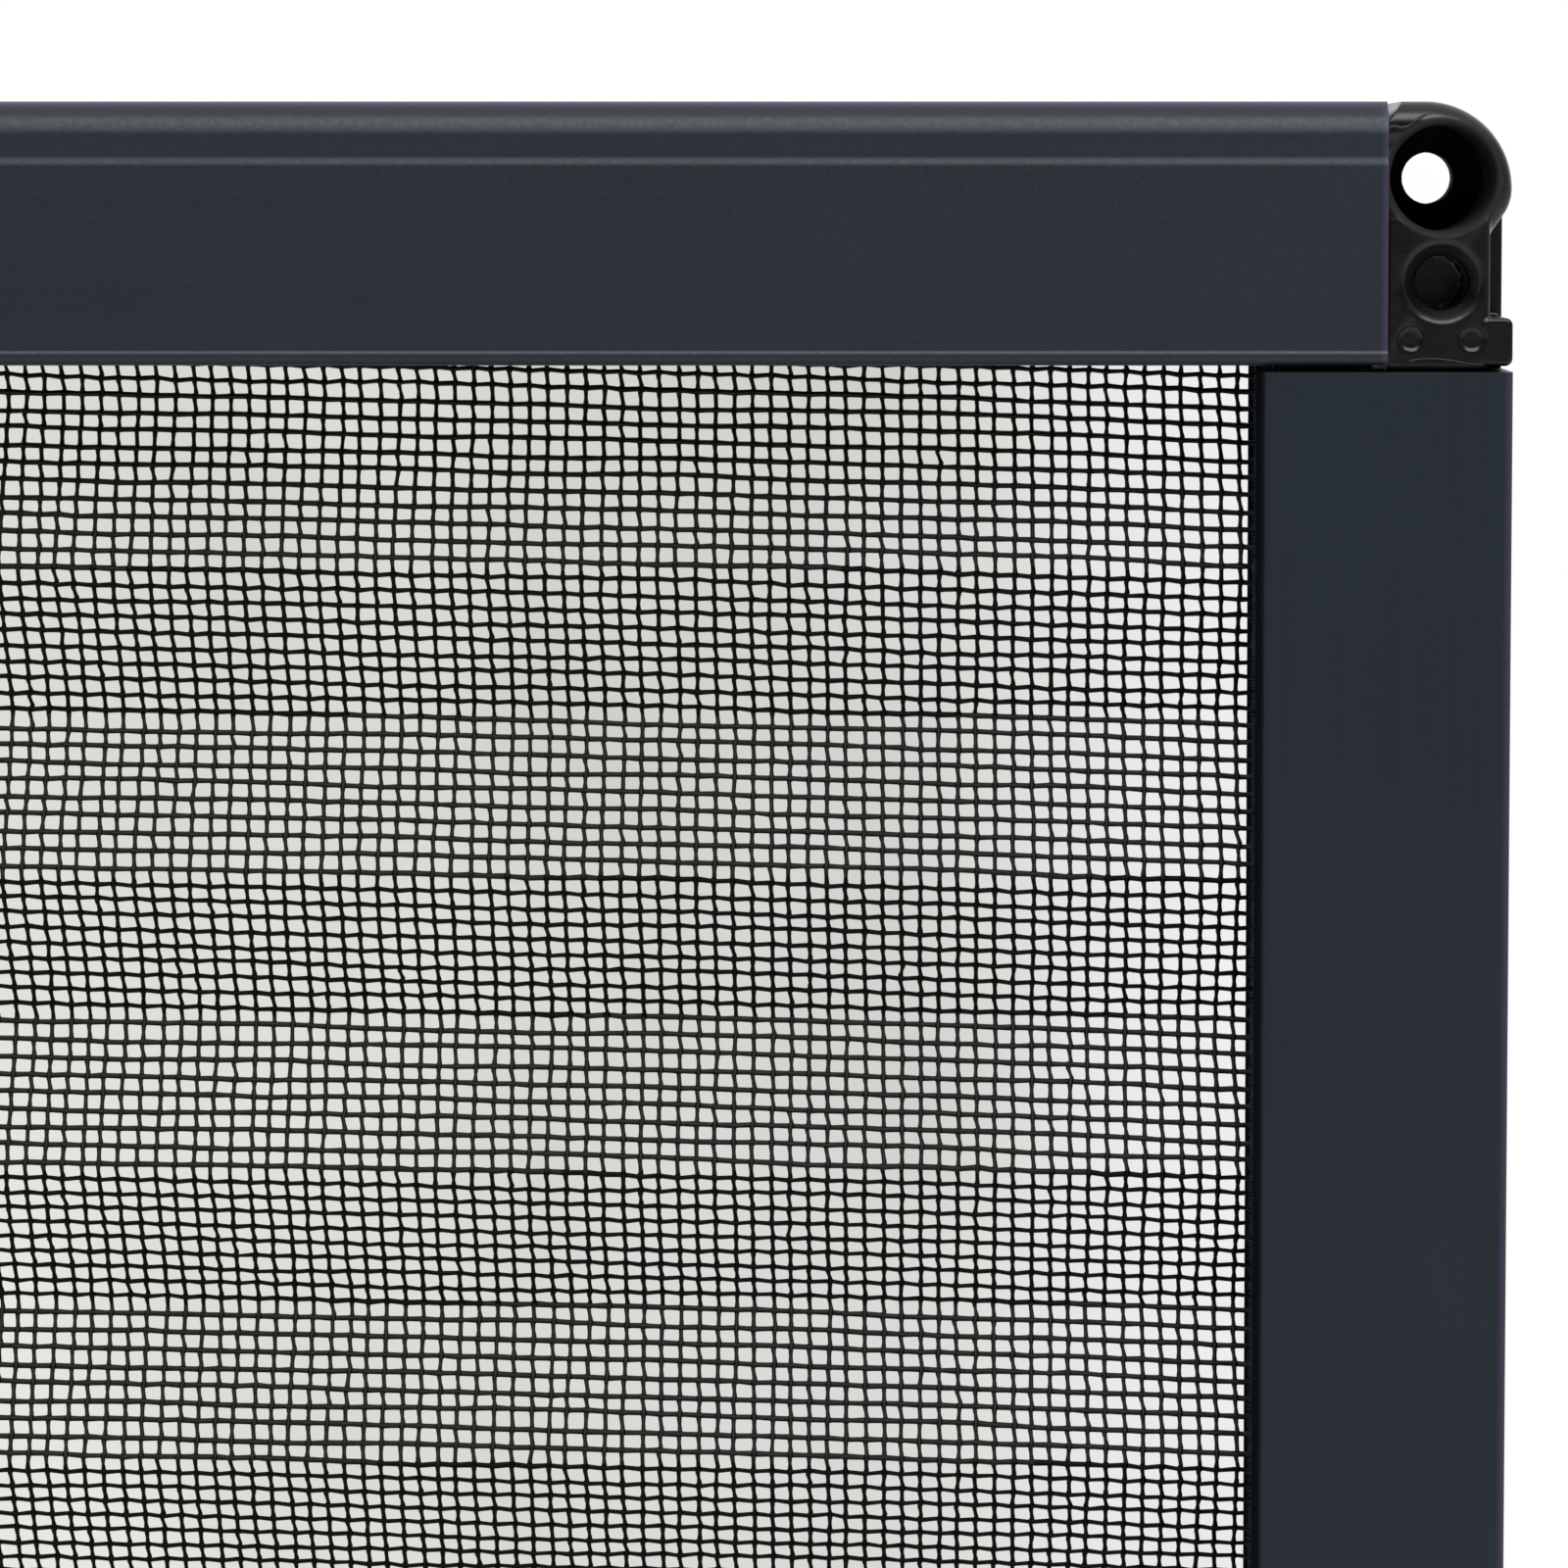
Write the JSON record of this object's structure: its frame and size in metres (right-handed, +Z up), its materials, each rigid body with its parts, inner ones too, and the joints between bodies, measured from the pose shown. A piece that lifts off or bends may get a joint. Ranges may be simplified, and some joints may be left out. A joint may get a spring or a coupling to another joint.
{
  "type": "pleated window insect screen",
  "caption": "Slim aluminium window frame with moulded corner caps and a pleated insect mesh that folds up when its pull bar slides up the side guides.",
  "frame": {"origin": "middle of the rectangle of the four corner screw holes, on the plane of the frame's back that goes against the window", "axes": "+X across the screen to the right as seen from its front, +Z up, -Y out of its visible front"},
  "size_m": [0.7, 0.027, 0.6],
  "materials": {
    "rail_coat": "fine textured powder coat",
    "cap_plastic": "satin moulded",
    "trim_plastic": "satin moulded",
    "pile": "pile",
    "magnet_strip": "matt",
    "screw_steel": "zinc plated",
    "mesh": "coated thread"
  },
  "bodies": {
    "frame": {"head_rail": "rail_coat", "bottom_rail": "rail_coat", "guide_rail_right": "rail_coat", "guide_rail_left": "rail_coat", "corner_cap_top_right": "cap_plastic", "corner_cap_top_left": "cap_plastic", "corner_cap_bottom_right": "cap_plastic", "corner_cap_bottom_left": "cap_plastic", "guide_brush_right": "pile", "guide_brush_left": "pile", "mesh_clamp_top": "trim_plastic", "sill_magnet": "magnet_strip", "pleated_mesh": "mesh"},
    "slider": {"pull_bar": "rail_coat", "bar_end_right": "trim_plastic", "bar_end_left": "trim_plastic", "pull_handle": "trim_plastic", "handle_screws": "screw_steel", "bar_seal": "pile", "bar_magnet": "magnet_strip", "mesh_clamp_bottom": "trim_plastic"}
  },
  "joints": [
    {"name": "bar_slide", "type": "slide", "parent": "frame", "child": "slider", "axis": [0, 0, 1], "range_m": [0, 0.52], "deforming": ["pleated_mesh"]}
  ]
}
